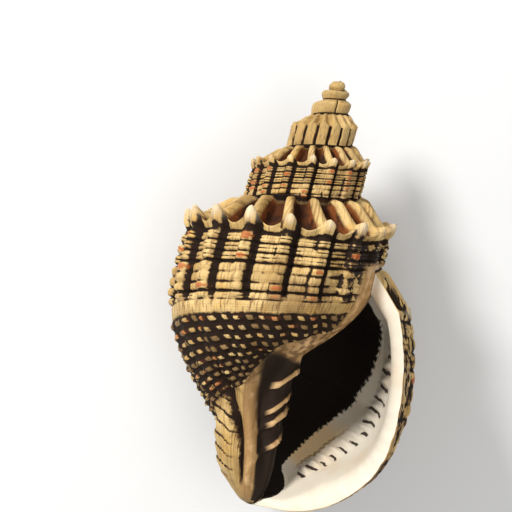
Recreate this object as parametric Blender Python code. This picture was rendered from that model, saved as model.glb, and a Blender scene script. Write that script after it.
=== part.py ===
"""A murex shell, grown as one piece, lying on its back with its opening up. Metres, +Z up.

The shell is first worked out standing: the coiling axis runs along z, the apex is up and the opening
faces -y. "turn" counts whorls of growth: it is 0 at the outer lip and falls towards the apex.
"station" runs across a whorl: -1 at the seam with the whorl above, 0 at the shoulder rim, 7 at the
neck under the base and 8 at the canal tip. "drop" is the distance below the apex along the axis.
"""

import math

import bmesh
import bpy
import numpy as np
from mathutils import Matrix

# Driving dimensions. Lengths are in millimetres until the mesh is written.
MM = 0.001
HEIGHT = 60.0  # apex to canal tip, along the coiling axis
TURNS = 6.375  # whorls from the nucleus to the lip
LIP_BEARING = -25.0  # degrees round the axis from the right side; the lip stands forward of it
WIDENING = 0.5738  # growth of a whorl's radius in one turn, as a logarithm
LENGTHENING = 0.634  # growth of the shoulder's drop in one turn, as a logarithm
LATE_CLIMB = 0.10  # how much the last whorl holds back from that drop
APEX_DROP = 0.55  # the law's late whorls are this far lower than its first ones
APEX_DROP_TURNS = (3.0, 3.8)  # turns behind the lip over which that fades out
PLUMP = 0.020  # added to the size of the first whorls, as a share of the last one
PLUMP_TURNS = (3.2, 5.0)  # turns behind the lip over which that grows
BULB_TURNS = 0.5  # the spiral opens from a point in this many turns

# Outlines under the shoulder rim: radius and drop at stations 0 to 7.
SIDE_TURN = -205 / 360  # the left side of the last whorl
SIDE = (
    (15.2, 25.0),
    (15.4, 29.0),
    (15.3, 33.0),
    (14.7, 36.6),
    (13.0, 40.2),
    (10.4, 43.4),
    (7.9, 45.8),
    (5.8, 47.9),
)
MOUTH_TURN = -25 / 360  # the right side, just behind the lip
MOUTH = (
    (17.2, 29.3),
    (19.0, 34.6),
    (19.9, 40.4),
    (19.8, 45.4),
    (18.3, 49.8),
    (15.2, 53.6),
    (11.0, 56.7),
    (6.0, 58.8),
)
NECK = 7.0
TIP = 8.0
SEAM = 2.35  # station of the whorl above where the next whorl joins it
LIP_SEAM = 1.35  # the same at the lip, where the seam has climbed

PILLAR_RADIUS = 3.4  # the columella
PILLAR_TAPER_FROM = 52.0
CANAL_BEND_FROM = 44.0
CANAL_BEND = (1.9, 1.0)  # how far the canal tip leans to the right and to the back

RIBS = 16  # ribs on each whorl
RIB_PHASE = 1 / 64  # turn at which the next rib would stand, just past the lip
RIB_HEIGHT = 1.0
RAMP_RIB_HEIGHT = 1.5
RAMP_LEAN = 0.55  # lean of a rib across the ramp, as a share of the rib spacing
RIBS_GROW_IN = (-3.7, -3.2)  # turns over which ribs appear, after the smooth first whorls
RIBS_FADE = (1.8, 3.6)  # stations over which they die out below the shoulder
HORN_HEIGHT = 1.9  # of the point where a rib crosses the shoulder rim
HORN_FLARE = 0.3  # how far the point leans out, as a share of its height
HORNS_FADE = (-0.20, -0.08)  # turns over which the points die out by the lip
FASCIOLE_HEIGHT = 1.2
FASCIOLE_FROM = -0.72  # turn of the groove that parts the fasciole from the columella

WALL = 1.5  # thickness of the outer wall, deep inside
LIP_THICKNESS = 2.6  # thickness of the swollen lip
CANAL_THINNING = 0.6  # share of the wall's thickness that is missing round the canal
CANAL_THINNING_STATIONS = (5.8, 7.4)
GLAZE = 0.15  # thickness of the inner lip's glaze over the whorl before
CAVITY_TURNS = 0.72  # how far the hollow is open behind the lip

ROLL = -5.5  # degrees the shell rolls, once on its back, until two ribs bear it
PITCH = -1.8  # degrees its apex dips at the same time
WORN = 0.25  # depth of the flats worn into the ribs that it lies on

COLUMNS = 64  # steps of growth in each turn
APEX_STEPS = 4  # the first steps of growth are one point
RAMP_ROWS = 3
WALL_ROWS = 3
BASE_ROWS = 8
PILLAR_ROWS = 5
CAVITY_ROWS = 18


def smooth(value, low, high):
    """0 under low, 1 over high, and an S curve between them."""
    share = np.clip((value - low) / (high - low), 0.0, 1.0)
    return share * share * (3 - 2 * share)


def hill(value, centre, half_width):
    """A rounded hill, 1 at its centre and 0 from half_width away."""
    share = np.clip(np.abs(value - centre) / half_width, 0.0, 1.0)
    return 0.5 + 0.5 * np.cos(math.pi * share)


def on_outline(outline, station):
    """Radius and drop at stations of an outline, on a smooth curve through its points."""
    points = np.array(outline)
    last = len(points) - 1
    place = np.clip(station, 0.0, last)
    index = np.minimum(np.floor(place).astype(int), last - 1)
    share = (place - index)[..., None]
    start = points[index]
    end = points[index + 1]
    leave = (end - points[np.maximum(index - 1, 0)]) / 2
    arrive = (points[np.minimum(index + 2, last)] - start) / 2
    found = (
        (2 * share**3 - 3 * share**2 + 1) * start
        + (share**3 - 2 * share**2 + share) * leave
        + (3 * share**2 - 2 * share**3) * end
        + (share**3 - share**2) * arrive
    )
    return found[..., 0], found[..., 1]


def radius_scale(turn):
    """Size of a whorl against the one that SIDE describes. The first whorls are rather plump."""
    return np.exp(WIDENING * (turn - SIDE_TURN)) + PLUMP * smooth(-turn, *PLUMP_TURNS)


def rim_drop(turn):
    back = turn - SIDE_TURN
    law = LENGTHENING * back + LATE_CLIMB * (1 - np.exp(back / 0.4))
    offset = APEX_DROP * (1 - smooth(-turn, *APEX_DROP_TURNS))
    return offset + (SIDE[0][1] - APEX_DROP) * np.exp(law)


def early_section(turn, station):
    """The law that every whorl but the last half follows, from the rim to the neck."""
    radius, drop = on_outline(SIDE, station)
    scale = radius_scale(turn)
    return radius * scale, rim_drop(turn) + (drop - SIDE[0][1]) * scale


def outer_section(turn, station):
    """Radius and drop from the rim to the neck: the law, eased into the mouth's outline."""
    radius, drop = early_section(turn, station)
    law_radius, law_drop = early_section(np.full_like(turn, MOUTH_TURN), station)
    mouth_radius, mouth_drop = on_outline(MOUTH, station)
    share = np.maximum((turn - SIDE_TURN) / (MOUTH_TURN - SIDE_TURN), 0.0) ** 2
    radius = radius * (mouth_radius / law_radius) ** share
    drop = drop * (mouth_drop / law_drop) ** share
    room = HEIGHT - drop
    return radius, HEIGHT - (room + np.sqrt(room**2 + 0.5)) / 2


def pillar(drop):
    taper = np.clip((drop - PILLAR_TAPER_FROM) / (HEIGHT - PILLAR_TAPER_FROM), 0.0, 1.0)
    return PILLAR_RADIUS * np.sqrt(1 - taper**2)


def lower_section(turn, station):
    """Radius and drop from the neck to the canal tip, with the fasciole's ridge round it."""
    neck_radius, neck_drop = outer_section(turn, np.full_like(station, NECK))
    share = np.clip(station - NECK, 0.0, 1.0)
    drop = neck_drop + (HEIGHT - neck_drop) * share
    fairing = (1 - share) ** (1 + (HEIGHT - neck_drop) / 4)
    radius = pillar(drop) + (neck_radius - pillar(neck_drop)) * fairing
    ridge = smooth(-turn, 0.02, 0.25) * (1 - smooth(-turn, -FASCIOLE_FROM - 0.03, -FASCIOLE_FROM + 0.01))
    along = smooth(drop, neck_drop, neck_drop + 4) * (1 - smooth(drop, 55, 59.5))
    return radius + FASCIOLE_HEIGHT * ridge * along, drop


def opened(turn, radius, drop):
    """The nucleus: the spiral opens from a point at the apex during its first half turn."""
    share = smooth(turn + TURNS, 0.0, BULB_TURNS)
    return radius * share, drop * share


def whorl_section(turn, station):
    """Radius and drop from the rim to the tip."""
    outer = outer_section(turn, np.minimum(station, NECK))
    lower = lower_section(turn, np.maximum(station, NECK))
    radius, drop = (np.where(station <= NECK, *pair) for pair in zip(outer, lower))
    return opened(turn, radius, drop)


def seam_station(turn):
    """Where, on the whorl before, the whorl at this turn joins it."""
    return SEAM - (SEAM - LIP_SEAM) * smooth(turn, -1.0, 0.0)


def section(turn, station):
    """Radius and drop anywhere on the smooth whorl, the ramp included."""
    radius, drop = whorl_section(turn, np.maximum(station, 0.0))
    seam_radius, seam_drop = whorl_section(turn - 1, seam_station(turn))
    share = np.clip(station + 1, 0.0, 1.0)
    ramp = station < 0
    return (
        np.where(ramp, seam_radius + (radius - seam_radius) * share, radius),
        np.where(ramp, seam_drop + (drop - seam_drop) * share, drop),
    )


def relief(turn, station):
    """Ribs, horns and the round nucleus: height out from the whorl, and lift towards the apex."""
    size = radius_scale(turn) * smooth(turn, *RIBS_GROW_IN)
    lean = RAMP_LEAN / RIBS * np.clip(-station, 0.0, 1.0)
    crest = 0.5 + 0.5 * np.cos(2 * math.pi * RIBS * (turn - RIB_PHASE - lean))
    wall = RIB_HEIGHT * (crest - 0.5) * smooth(station, -0.2, 0.1) * (1 - smooth(station, *RIBS_FADE))
    ramp = RAMP_RIB_HEIGHT * (crest - 0.4) * hill(station, -0.45, 0.55)
    horn = HORN_HEIGHT * crest**2 * hill(station, 0.0, 0.33) * (1 - smooth(turn, *HORNS_FADE))
    age = turn + TURNS
    round_whorl = 2.0 * hill(station, 0.4, 1.6) * (1 - smooth(age, 1.9, 2.4))
    bulb = 3.5 * hill(station, -0.4, 0.6) * (1 - smooth(age, 0.9, 1.1))
    nucleus = radius_scale(turn) * (round_whorl + bulb) * smooth(age, 0.05, BULB_TURNS)
    bare = smooth(turn, -1.0, -0.93) + (1 - smooth(turn, -1.03, -1.0)) + (1 - smooth(station, 0.6, 1.0))
    out = wall * np.minimum(bare, 1.0) + HORN_FLARE * horn
    return size * out + nucleus, size * (ramp + horn) + nucleus * smooth(-station, 0.0, 0.4)


def standing(turn, radius, drop):
    """The point of the standing shell at a turn, a radius and a drop."""
    bearing = math.radians(LIP_BEARING) - 2 * math.pi * turn
    bend = np.maximum((drop - CANAL_BEND_FROM) / (HEIGHT - CANAL_BEND_FROM), 0.0) ** 2
    return np.stack(
        (
            radius * np.cos(bearing) + CANAL_BEND[0] * bend,
            radius * np.sin(bearing) + CANAL_BEND[1] * bend,
            HEIGHT - drop,
        ),
        axis=-1,
    )


def outside(turn, station):
    radius, drop = section(turn, station)
    out, up = relief(turn, station)
    return standing(turn, radius + out, drop - up)


def wall_thickness(depth):
    """Thickness of the outer wall at a depth in turns behind the lip's edge."""
    swollen = WALL + (LIP_THICKNESS - WALL) * math.exp(-((depth / 0.12) ** 2))
    return swollen * (1 - math.exp(-depth / 0.008))


def hollow_loop(depth, outer_shares, inner_shares):
    """One closed ring of the hollow: down the outer wall to the canal, then up the columella."""
    many = 400
    turn = np.full(many, -depth)
    stations = np.linspace(-1, TIP, many)
    radius, drop = section(turn, stations)
    along = np.gradient(radius), np.gradient(drop)
    length = np.hypot(*along)
    thinning = CANAL_THINNING * smooth(stations, *CANAL_THINNING_STATIONS)
    thickness = wall_thickness(depth) * (1 - thinning)
    wall_radius = radius - thickness * along[1] / length
    wall_drop = drop + thickness * along[0] / length
    core_stations = np.linspace(0, TIP, many)
    core_radius, core_drop = whorl_section(turn - 1, core_stations)
    core_radius = core_radius + GLAZE
    clear = np.nonzero(wall_radius > np.interp(wall_drop, core_drop, core_radius))[0]
    places = np.interp(outer_shares, (0, 1), (clear[0], clear[-1]))
    index = np.arange(many)
    outer = np.interp(places, index, wall_radius), np.interp(places, index, wall_drop)
    ends = np.interp((wall_drop[clear[-1]], wall_drop[clear[0]]), core_drop, core_stations)
    inner_stations = np.interp(inner_shares, (0, 1), ends)
    inner = (
        np.interp(inner_stations, core_stations, core_radius),
        np.interp(inner_stations, core_stations, core_drop),
    )
    radius, drop = (np.concatenate(pair) for pair in zip(outer, inner))
    return standing(np.full(len(radius), -depth), radius, drop)


def row_stations(turn):
    """Stations of a column's rows. The rows below the seam exist on the last whorl only."""
    seam = float(seam_station(np.array(min(turn + 1, 0.0))))
    ramp = np.linspace(-1, 0, RAMP_ROWS + 1)
    wall = np.linspace(0, seam, WALL_ROWS + 1)
    if turn < -1:
        return np.concatenate((ramp, wall[1:]))
    base = np.linspace(seam, NECK, BASE_ROWS + 1)
    lower = np.linspace(NECK, TIP, PILLAR_ROWS + 1)
    return np.concatenate((ramp, wall[1:], base[1:], lower[1:]))


class Sheet:
    """Vertices and faces, with the rows of one whorl sharing the seam with the next."""

    def __init__(self):
        self.points = []
        self.faces = []

    def add(self, point):
        self.points.append(tuple(point))
        return len(self.points) - 1

    def face(self, *corners):
        """A face without repeated corners, so that it narrows to a triangle at a pole."""
        kept = [corner for n, corner in enumerate(corners) if corner != corners[n - 1]]
        if len(kept) > 2:
            self.faces.append(kept)

    def strip(self, first, second):
        for n in range(len(first) - 1):
            self.face(first[n], first[n + 1], second[n + 1], second[n])


def grow_outside(sheet):
    """The outer sheet from the apex to the lip, and its first and last full columns."""
    apex = sheet.add(standing(np.array(0.0), np.array(0.0), np.array(0.0)))
    tip = sheet.add(standing(np.array(0.0), np.array(0.0), np.array(HEIGHT)))
    seam_row = RAMP_ROWS + WALL_ROWS
    count = round(TURNS * COLUMNS)
    columns = []
    for step in range(count + 1):
        turn = (step - count) / COLUMNS
        stations = row_stations(turn)
        points = outside(np.full(len(stations), turn), stations)
        column = []
        for row, point in enumerate(points):
            if step < APEX_STEPS or (row == 0 and step <= COLUMNS):
                column.append(apex)
            elif row == 0:
                column.append(columns[step - COLUMNS][seam_row])
            elif stations[row] == TIP:
                column.append(tip)
            else:
                column.append(sheet.add(point))
        columns.append(column)
    for before, after in zip(columns, columns[1:]):
        rows = min(len(before), len(after))
        sheet.strip(before[:rows], after[:rows])
    return columns[count - COLUMNS], columns[count]


def grow_hollow(sheet, start, lip):
    """The hollow behind the lip, from the ring of the opening to its rounded end."""
    seam_row = RAMP_ROWS + WALL_ROWS
    ring = lip[:-1] + start[:seam_row:-1]
    outer_shares = np.linspace(0, 1, len(lip))[:-1]
    inner_shares = np.linspace(0, 1, len(ring) - len(lip) + 2)[:-1]
    depths = CAVITY_TURNS * np.linspace(0, 1, CAVITY_ROWS + 1)[1:] ** 1.8
    for depth in depths:
        inner_ring = [sheet.add(p) for p in hollow_loop(depth, outer_shares, inner_shares)]
        sheet.strip(ring + ring[:1], inner_ring + inner_ring[:1])
        ring = inner_ring
    end = sheet.add(np.mean([sheet.points[n] for n in ring], axis=0))
    for n, corner in enumerate(ring):
        sheet.face(ring[n - 1], corner, end)


def shell_material():
    material = bpy.data.materials.new("shell")
    material.use_nodes = True
    surface = material.node_tree.nodes["Principled BSDF"]
    surface.inputs["Base Color"].default_value = (0.62, 0.45, 0.25, 1.0)
    surface.inputs["Metallic"].default_value = 0.0
    surface.inputs["Roughness"].default_value = 0.55
    return material


def lay_down(build):
    """Turns the standing shell onto its back, wears flats where it touches, and centres it."""
    on_its_back = Matrix.Rotation(math.radians(-90), 4, "X")
    settled = Matrix.Rotation(math.radians(PITCH), 4, "X") @ Matrix.Rotation(math.radians(ROLL), 4, "Y")
    bmesh.ops.transform(build, matrix=settled @ on_its_back, verts=build.verts)
    floor = min(v.co.z for v in build.verts) + WORN * MM
    bmesh.ops.bisect_plane(
        build,
        geom=build.verts[:] + build.edges[:] + build.faces[:],
        dist=1e-7,
        plane_co=(0, 0, floor),
        plane_no=(0, 0, -1),
        clear_outer=True,
    )
    rims = [edge for edge in build.edges if edge.is_boundary]
    bmesh.ops.holes_fill(build, edges=rims, sides=0)
    places = np.array([v.co for v in build.verts])
    middle = (places.min(axis=0) + places.max(axis=0)) / 2
    bmesh.ops.translate(build, verts=build.verts, vec=(-middle[0], -middle[1], -floor))


def main():
    for obj in list(bpy.data.objects):
        bpy.data.objects.remove(obj)
    sheet = Sheet()
    start, lip = grow_outside(sheet)
    grow_hollow(sheet, start, lip)
    mesh = bpy.data.meshes.new("shell")
    mesh.from_pydata([tuple(c * MM for c in p) for p in sheet.points], [], sheet.faces)
    build = bmesh.new()
    build.from_mesh(mesh)
    bmesh.ops.recalc_face_normals(build, faces=build.faces)
    lay_down(build)
    build.to_mesh(mesh)
    build.free()
    mesh.shade_smooth()
    mesh.materials.append(shell_material())
    shell = bpy.data.objects.new("shell", mesh)
    bpy.context.scene.collection.objects.link(shell)


main()
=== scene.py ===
"""A murex shell lying on its back, with its finish, on a pale studio floor.

The shell is grown by a Geometry Nodes tree from a plan, a mesh that is joined up like the shell but
isn't yet coiled. Each vertex of the plan says where it belongs: "turn" counts whorls of growth, 0 at
the outer lip and less towards the apex; "station" runs across a whorl, from -1 at the seam with the
whorl above, by 0 at the shoulder rim and 7 at the neck, to 8 at the canal tip; "inset" is its depth
under the outer surface. The law works in millimetres on a standing shell, apex up and opening
towards -y, and a turned copy of that is laid where the frame lies.

In the functions, s holds sizes, r the relief that is carved, and n the noises that break up colours.
"""

import math
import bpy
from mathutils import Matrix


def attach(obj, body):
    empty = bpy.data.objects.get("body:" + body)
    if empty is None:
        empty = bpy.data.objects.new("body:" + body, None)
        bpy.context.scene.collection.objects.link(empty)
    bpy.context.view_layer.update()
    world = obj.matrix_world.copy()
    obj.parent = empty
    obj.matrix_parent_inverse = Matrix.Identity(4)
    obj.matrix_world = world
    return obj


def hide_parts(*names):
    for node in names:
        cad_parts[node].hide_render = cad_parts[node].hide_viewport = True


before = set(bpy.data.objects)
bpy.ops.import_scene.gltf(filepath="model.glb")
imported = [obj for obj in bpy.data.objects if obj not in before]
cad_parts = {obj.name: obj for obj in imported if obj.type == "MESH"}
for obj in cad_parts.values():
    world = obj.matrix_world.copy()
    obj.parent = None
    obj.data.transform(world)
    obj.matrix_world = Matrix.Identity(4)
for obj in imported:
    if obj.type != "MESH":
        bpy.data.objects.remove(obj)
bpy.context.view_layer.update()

from types import SimpleNamespace

import bpy
import numpy as np
from bpy.props import FloatProperty, FloatVectorProperty, IntProperty, PointerProperty
from mathutils import Matrix, Vector

bl_info = {
    "name": "Murex shell",
    "version": (1, 0, 0),
    "blender": (4, 5, 0),
    "location": "3D View > Sidebar > Murex",
    "description": "Grows a ribbed murex shell from its law of growth and lights it in a small studio",
    "category": "Add Mesh",
}

MM = 0.001
FULL_TURN = 2 * math.pi

# The law of growth, in millimetres, as the solid under it has it.
HEIGHT = 60.0
LIP_BEARING = math.radians(-25)
LATE_CLIMB = 0.10
APEX_DROP = 0.55
APEX_DROP_TURNS = (3.0, 3.8)  # turns back from the lip over which that drop is given up
PLUMP = 0.020  # how much rounder than the law the first whorls are
PLUMP_TURNS = (3.2, 5.0)
BULB_TURNS = 0.5  # turns over which the first whorl opens from a point
SIDE_TURN = -205 / 360
SIDE = (
    (15.2, 25.0),
    (15.4, 29.0),
    (15.3, 33.0),
    (14.7, 36.6),
    (13.0, 40.2),
    (10.4, 43.4),
    (7.9, 45.8),
    (5.8, 47.9),
)
MOUTH_TURN = -25 / 360
MOUTH = (
    (17.2, 29.3),
    (19.0, 34.6),
    (19.9, 40.4),
    (19.8, 45.4),
    (18.3, 49.8),
    (15.2, 53.6),
    (11.0, 56.7),
    (6.0, 58.8),
)
NECK = 7.0
TIP = 8.0
SEAM = 2.35
LIP_SEAM = 1.35
PILLAR_RADIUS = 3.4
PILLAR_TAPER_FROM = 52.0
CANAL_BEND_FROM = 44.0
CANAL_BEND = (1.9, 1.0)
RIB_PHASE = 1 / 64
RAMP_LEAN = 0.55
FASCIOLE_HEIGHT = 1.2
CAVITY_TURNS = 0.72
GLAZE = 0.15
CANAL_THINNING = 0.6  # share of the wall's thickness that is missing round the canal
CANAL_THINNING_STATIONS = (5.8, 7.4)
UNDER_CARVING = 0.5  # least thickness left under the deepest carving

# Where the carving changes with growth, in turns.
LARVAL_END = -3.84  # a line where the larval shell ends
RIBS_GROW_IN = (-3.7, -3.2)
LATE_RIBS_GROW_IN = (-2.7, -2.0)
CORDS_GROW_IN = (-2.4, -1.9)
HORNS_FADE = (-0.20, -0.08)
CALM_BY_LIP = (-0.17, -0.03)
CALM_SHARE = 0.75  # share of the carving that is missing at the lip

# Where the carving lies across a whorl, in stations. Each span says where a thing starts, is whole,
# starts to fade and ends.
RAMP_SPAN = (-1.0, -0.76, -0.16, 0.02)
PITS_SPAN = (-1.06, -0.90, -0.24, -0.02)
CORDS_SPAN = (0.10, 0.18, 2.80, 2.95)
PLAIN_SPAN = (2.70, 2.95, 3.15, 3.30)
BASE_SPAN = (3.22, 3.50, 6.7, 7.2)
CALLUS_SPAN = (3.2, 4.2, 6.6, 7.2)
ROUGH_EDGE_SPAN = (-0.95, -0.7, 6.0, 7.0)
FRILL_SPAN = (0.0, 0.4, 6.6, 7.2)
TEETH_SPAN = (0.8, 1.2, 6.0, 6.5)
FRINGE_SPAN = (3.4, 4.6, 5.8, 6.4)
# Where shadow is painted on the wall under the outer lip.
SHADE_UNDER_LIP_SPAN = (-0.05, 0.25, 2.6, 2.9)
CORDS_FROM = 0.34  # the first spiral cord
CORD_STEP = 0.385
HEAVY_GROOVES = ((0.20, 0.7), (1.30, 1.0), (2.47, 1.0), (2.80, 0.6))  # station and strength of each
BEADS_FROM = 3.55  # the first row of beads
BEAD_ROW_STEP = 0.40
BEADS = 44  # in each row of a whorl
TOOTH_STEP = 0.44
FINE_RIDGE_STEP = 0.107  # stations from one of the finest ridges to the next

# Spans in turns of growth, and down the columella in millimetres of drop.
ROUGH_EDGE_TURNS = (-0.066, -0.040, -0.014, -0.005)
FOLDS_TURNS = (-1.55, -1.25, -0.91, -0.83)
CANAL_GROOVE_TURNS = (-0.670, -0.755)  # at its top and its foot
CANAL_DROPS = (41.0, 45.0, 56.0, 59.0)
CHANNEL_DROPS = (37.5, 41.0, 52.5, 58.5)
FOLDS = ((40.9, 0.9), (44.9, 0.7), (47.0, 1.0), (50.8, 0.8))  # drop at the opening and strength of each
FOLD_HALF_WIDTH = 0.85
FOLD_CLIMB = 20.0  # drop that a fold loses in one turn into the hollow
SCALE_STEP = 1.7  # from one scale of the fasciole to the next
HORN_FLARE = 0.25  # how far a horn leans out for its height
LIP_RADIUS = 18.0
SEED = 4.0
RESTING = Matrix.Rotation(math.radians(-1.8), 3, "X") @ Matrix.Rotation(math.radians(-5.5), 3, "Y")
ON_ITS_BACK = Matrix.Rotation(math.radians(-90), 3, "X")

# Rows of the plan.
RAMP_ROWS = 18
WALL_ROWS = 24
BASE_ROWS = 62
CANAL_ROWS = 34
MIDDLE_WHORL = (-2.0, 12, 17)  # whorls before this turn have this many ramp and wall rows
EARLY_WHORL = (-3.0, 6, 8)
APEX_STEPS = 14  # the first steps of growth are one point
LIP_RINGS = 66
DEEP_RINGS = 20
LIP_RING_TURNS = 0.21
LIP_ROUNDING = 0.010  # turns over which the lip's edge is rounded
UNROLLED = (0.1, 0.005, -MM)  # metres for a turn, a station and a millimetre of inset
RING_POINTS = 901  # a point at each hundredth of a station
SLOPE_STEP = 0.04  # stations to each side over which the whorl's slope is measured

OUTSIDE, INNER_FACE, COLUMELLA = 0.0, 1.0, -1.0  # values of "side"

# The stage, in metres. Each light has a place and a width.
LIGHTS = {
    "key_light": ((-0.21, 0.13, 0.22), 0.08),
    "fill_light": ((0.07, -0.06, 0.34), 0.25),
}
LIT_POINT = (0, 0, 0.01)
FLOOR_REACH = 3.0
SENSOR_WIDTH = 36.0
VIEW_FROM_ABOVE = math.radians(2.0)
AXIS_LEAN = math.radians(-14.3)
APEX_IN_VIEW = (0.16504, 0.34277)  # right of the centre and above it, in widths of the view


# ---------------------------------------------------------------- arithmetic for numbers and nodes


class Field:
    """A value that a node tree works out at each vertex. Arithmetic on it adds Math nodes."""

    def __init__(self, tree, socket):
        self.tree = tree
        self.socket = socket

    def __neg__(self):
        return math_node("MULTIPLY", self, -1.0)


def overload(operation):
    def forward(self, other):
        return math_node(operation, self, other)

    def backward(self, other):
        return math_node(operation, other, self)

    return forward, backward


for sign, operation in (
    ("add", "ADD"),
    ("sub", "SUBTRACT"),
    ("mul", "MULTIPLY"),
    ("truediv", "DIVIDE"),
    ("pow", "POWER"),
):
    forward, backward = overload(operation)
    setattr(Field, f"__{sign}__", forward)
    setattr(Field, f"__r{sign}__", backward)


def feed(tree, value, socket):
    """Links a field to a socket, or types a plain value into it."""
    if isinstance(value, Field):
        tree.links.new(value.socket, socket)
    else:
        socket.default_value = value


def add_node(tree, kind, inputs=(), output=0, **settings):
    """A new node with its settings and inputs, as a field of one of its outputs."""
    node = tree.nodes.new(kind)
    for name, value in settings.items():
        setattr(node, name, value)
    for key, value in dict(inputs).items():
        feed(tree, value, node.inputs[key])
    return Field(tree, node.outputs[output])


def parts_of(vector):
    """The three parts of a vector field."""
    node = add_node(vector.tree, "ShaderNodeSeparateXYZ", {0: vector}).socket.node
    return tuple(Field(vector.tree, node.outputs[axis]) for axis in "XYZ")


def tree_of(*values):
    return next((value.tree for value in values if isinstance(value, Field)), None)


def math_node(operation, *values):
    return add_node(tree_of(*values), "ShaderNodeMath", enumerate(values), operation=operation)


def either(operation, plain):
    """A function that adds a Math node if it is given a field, and else works with plain numbers."""

    def calculate(*values):
        return math_node(operation, *values) if tree_of(*values) else plain(*values)

    return calculate


exp = either("EXPONENT", np.exp)
root = either("SQRT", np.sqrt)
cosine = either("COSINE", np.cos)
sine = either("SINE", np.sin)
size_of = either("ABSOLUTE", np.abs)
least = either("MINIMUM", np.minimum)
most = either("MAXIMUM", np.maximum)
above = either("GREATER_THAN", lambda a, b: (np.asarray(a) > b) * 1.0)
whole = either("FLOOR", np.floor)
fraction = either("FRACT", lambda a: a - np.floor(a))


def clamped(value, low=0.0, high=1.0):
    return least(most(value, low), high)


def smooth(value, low, high):
    """0 under low, 1 over high, and an S curve between them."""
    tree = tree_of(value, low, high)
    if tree:
        inputs = {"Value": value, "From Min": low, "From Max": high}
        return add_node(tree, "ShaderNodeMapRange", inputs, interpolation_type="SMOOTHSTEP")
    share = np.clip((value - low) / (high - low), 0.0, 1.0)
    return share * share * (3 - 2 * share)


def between(value, low, rise, fall, high):
    """A plateau: 0 outside low and high, and 1 from rise to fall."""
    return smooth(value, low, rise) * (1 - smooth(value, fall, high))


def hill(value, centre, half_width):
    share = least(size_of((value - centre) / half_width), 1.0)
    return 0.5 + 0.5 * cosine(share * math.pi)


def wave(place):
    """1 at whole numbers and 0 half way between them."""
    return 0.5 + 0.5 * cosine(place * FULL_TURN)


def chosen(test, if_not, if_so):
    return if_not + (if_so - if_not) * test


# ---------------------------------------------------------------- the law of growth


def on_outline(outline, station):
    """Radius and drop at a station of an outline: Float Curve nodes for a field."""
    last = len(outline) - 1
    tree = tree_of(station)
    if tree:
        return tuple(outline_curve(tree, outline, axis, station / last) for axis in (0, 1))
    points = np.array(outline)
    place = np.clip(station, 0.0, last)
    index = np.minimum(np.floor(place).astype(int), last - 1)
    share = (place - index)[..., None]
    start, end = points[index], points[index + 1]
    leave = (end - points[np.maximum(index - 1, 0)]) / 2
    arrive = (points[np.minimum(index + 2, last)] - start) / 2
    found = (
        (2 * share**3 - 3 * share**2 + 1) * start
        + (share**3 - 2 * share**2 + share) * leave
        + (3 * share**2 - 2 * share**3) * end
        + (share**3 - share**2) * arrive
    )
    return found[..., 0], found[..., 1]


def outline_curve(tree, outline, axis, place):
    curve_field = add_node(tree, "ShaderNodeFloatCurve", {"Value": place})
    mapping = curve_field.socket.node.mapping
    curve = mapping.curves[0]
    last = len(outline) - 1
    while len(curve.points) <= last:
        curve.points.new(0.5, 0.5)
    for n, point in enumerate(curve.points):
        point.location = (n / last, outline[n][axis] / HEIGHT)
        point.handle_type = "AUTO"
    mapping.update()
    return curve_field * HEIGHT


def radius_scale(s, turn):
    """Size of a whorl against the one that SIDE describes. The first whorls are rather plump."""
    return exp((turn - SIDE_TURN) * s.widening) + PLUMP * smooth(-turn, *PLUMP_TURNS)


def rim_drop(s, turn):
    back = turn - SIDE_TURN
    law = back * s.lengthening + LATE_CLIMB * (1 - exp(back / 0.4))
    offset = APEX_DROP * (1 - smooth(-turn, *APEX_DROP_TURNS))
    return offset + (SIDE[0][1] - APEX_DROP) * exp(law)


def early_section(s, turn, station):
    radius, drop = on_outline(SIDE, station)
    scale = radius_scale(s, turn)
    return radius * scale, rim_drop(s, turn) + (drop - SIDE[0][1]) * scale


def outer_section(s, turn, station):
    """Radius and drop from the rim to the neck: the early law, eased into the mouth's outline."""
    radius, drop = early_section(s, turn, station)
    law_radius, law_drop = early_section(s, MOUTH_TURN, station)
    mouth_radius, mouth_drop = on_outline(MOUTH, station)
    share = most((turn - SIDE_TURN) / (MOUTH_TURN - SIDE_TURN), 0.0) ** 2
    radius = radius * (mouth_radius / law_radius) ** share
    drop = drop * (mouth_drop / law_drop) ** share
    room = HEIGHT - drop
    return radius, HEIGHT - (room + root(room * room + 0.5)) / 2


def pillar(drop):
    taper = clamped((drop - PILLAR_TAPER_FROM) / (HEIGHT - PILLAR_TAPER_FROM))
    return PILLAR_RADIUS * root(1 - taper * taper)


def fasciole(turn, drop, neck_drop):
    round_it = smooth(-turn, 0.02, 0.25) * (1 - smooth(-turn, 0.69, 0.73))
    down_it = smooth(drop, neck_drop, neck_drop + 4) * (1 - smooth(drop, 55, 59.5))
    return round_it * down_it


def lower_section(s, turn, station):
    """Radius and drop from the neck to the canal tip, with the fasciole's ridge round it."""
    neck_radius, neck_drop = outer_section(s, turn, np.array(NECK))
    share = clamped(station - NECK)
    drop = neck_drop + (HEIGHT - neck_drop) * share
    fairing = (1 - share) ** (1 + (HEIGHT - neck_drop) / 4)
    radius = pillar(drop) + (neck_radius - pillar(neck_drop)) * fairing
    return radius + FASCIOLE_HEIGHT * fasciole(turn, drop, neck_drop), drop


def whorl_section(s, turn, station):
    """Radius and drop from the rim to the tip. The spiral opens from a point at the apex."""
    outer_radius, outer_drop = outer_section(s, turn, least(station, NECK))
    lower_radius, lower_drop = lower_section(s, turn, most(station, NECK))
    is_low = above(station, NECK)
    radius = chosen(is_low, outer_radius, lower_radius)
    drop = chosen(is_low, outer_drop, lower_drop)
    opened = smooth(turn + s.turns, 0.0, BULB_TURNS)
    return radius * opened, drop * opened


def seam_station(turn):
    return SEAM - (SEAM - LIP_SEAM) * smooth(turn, -1.0, 0.0)


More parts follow.
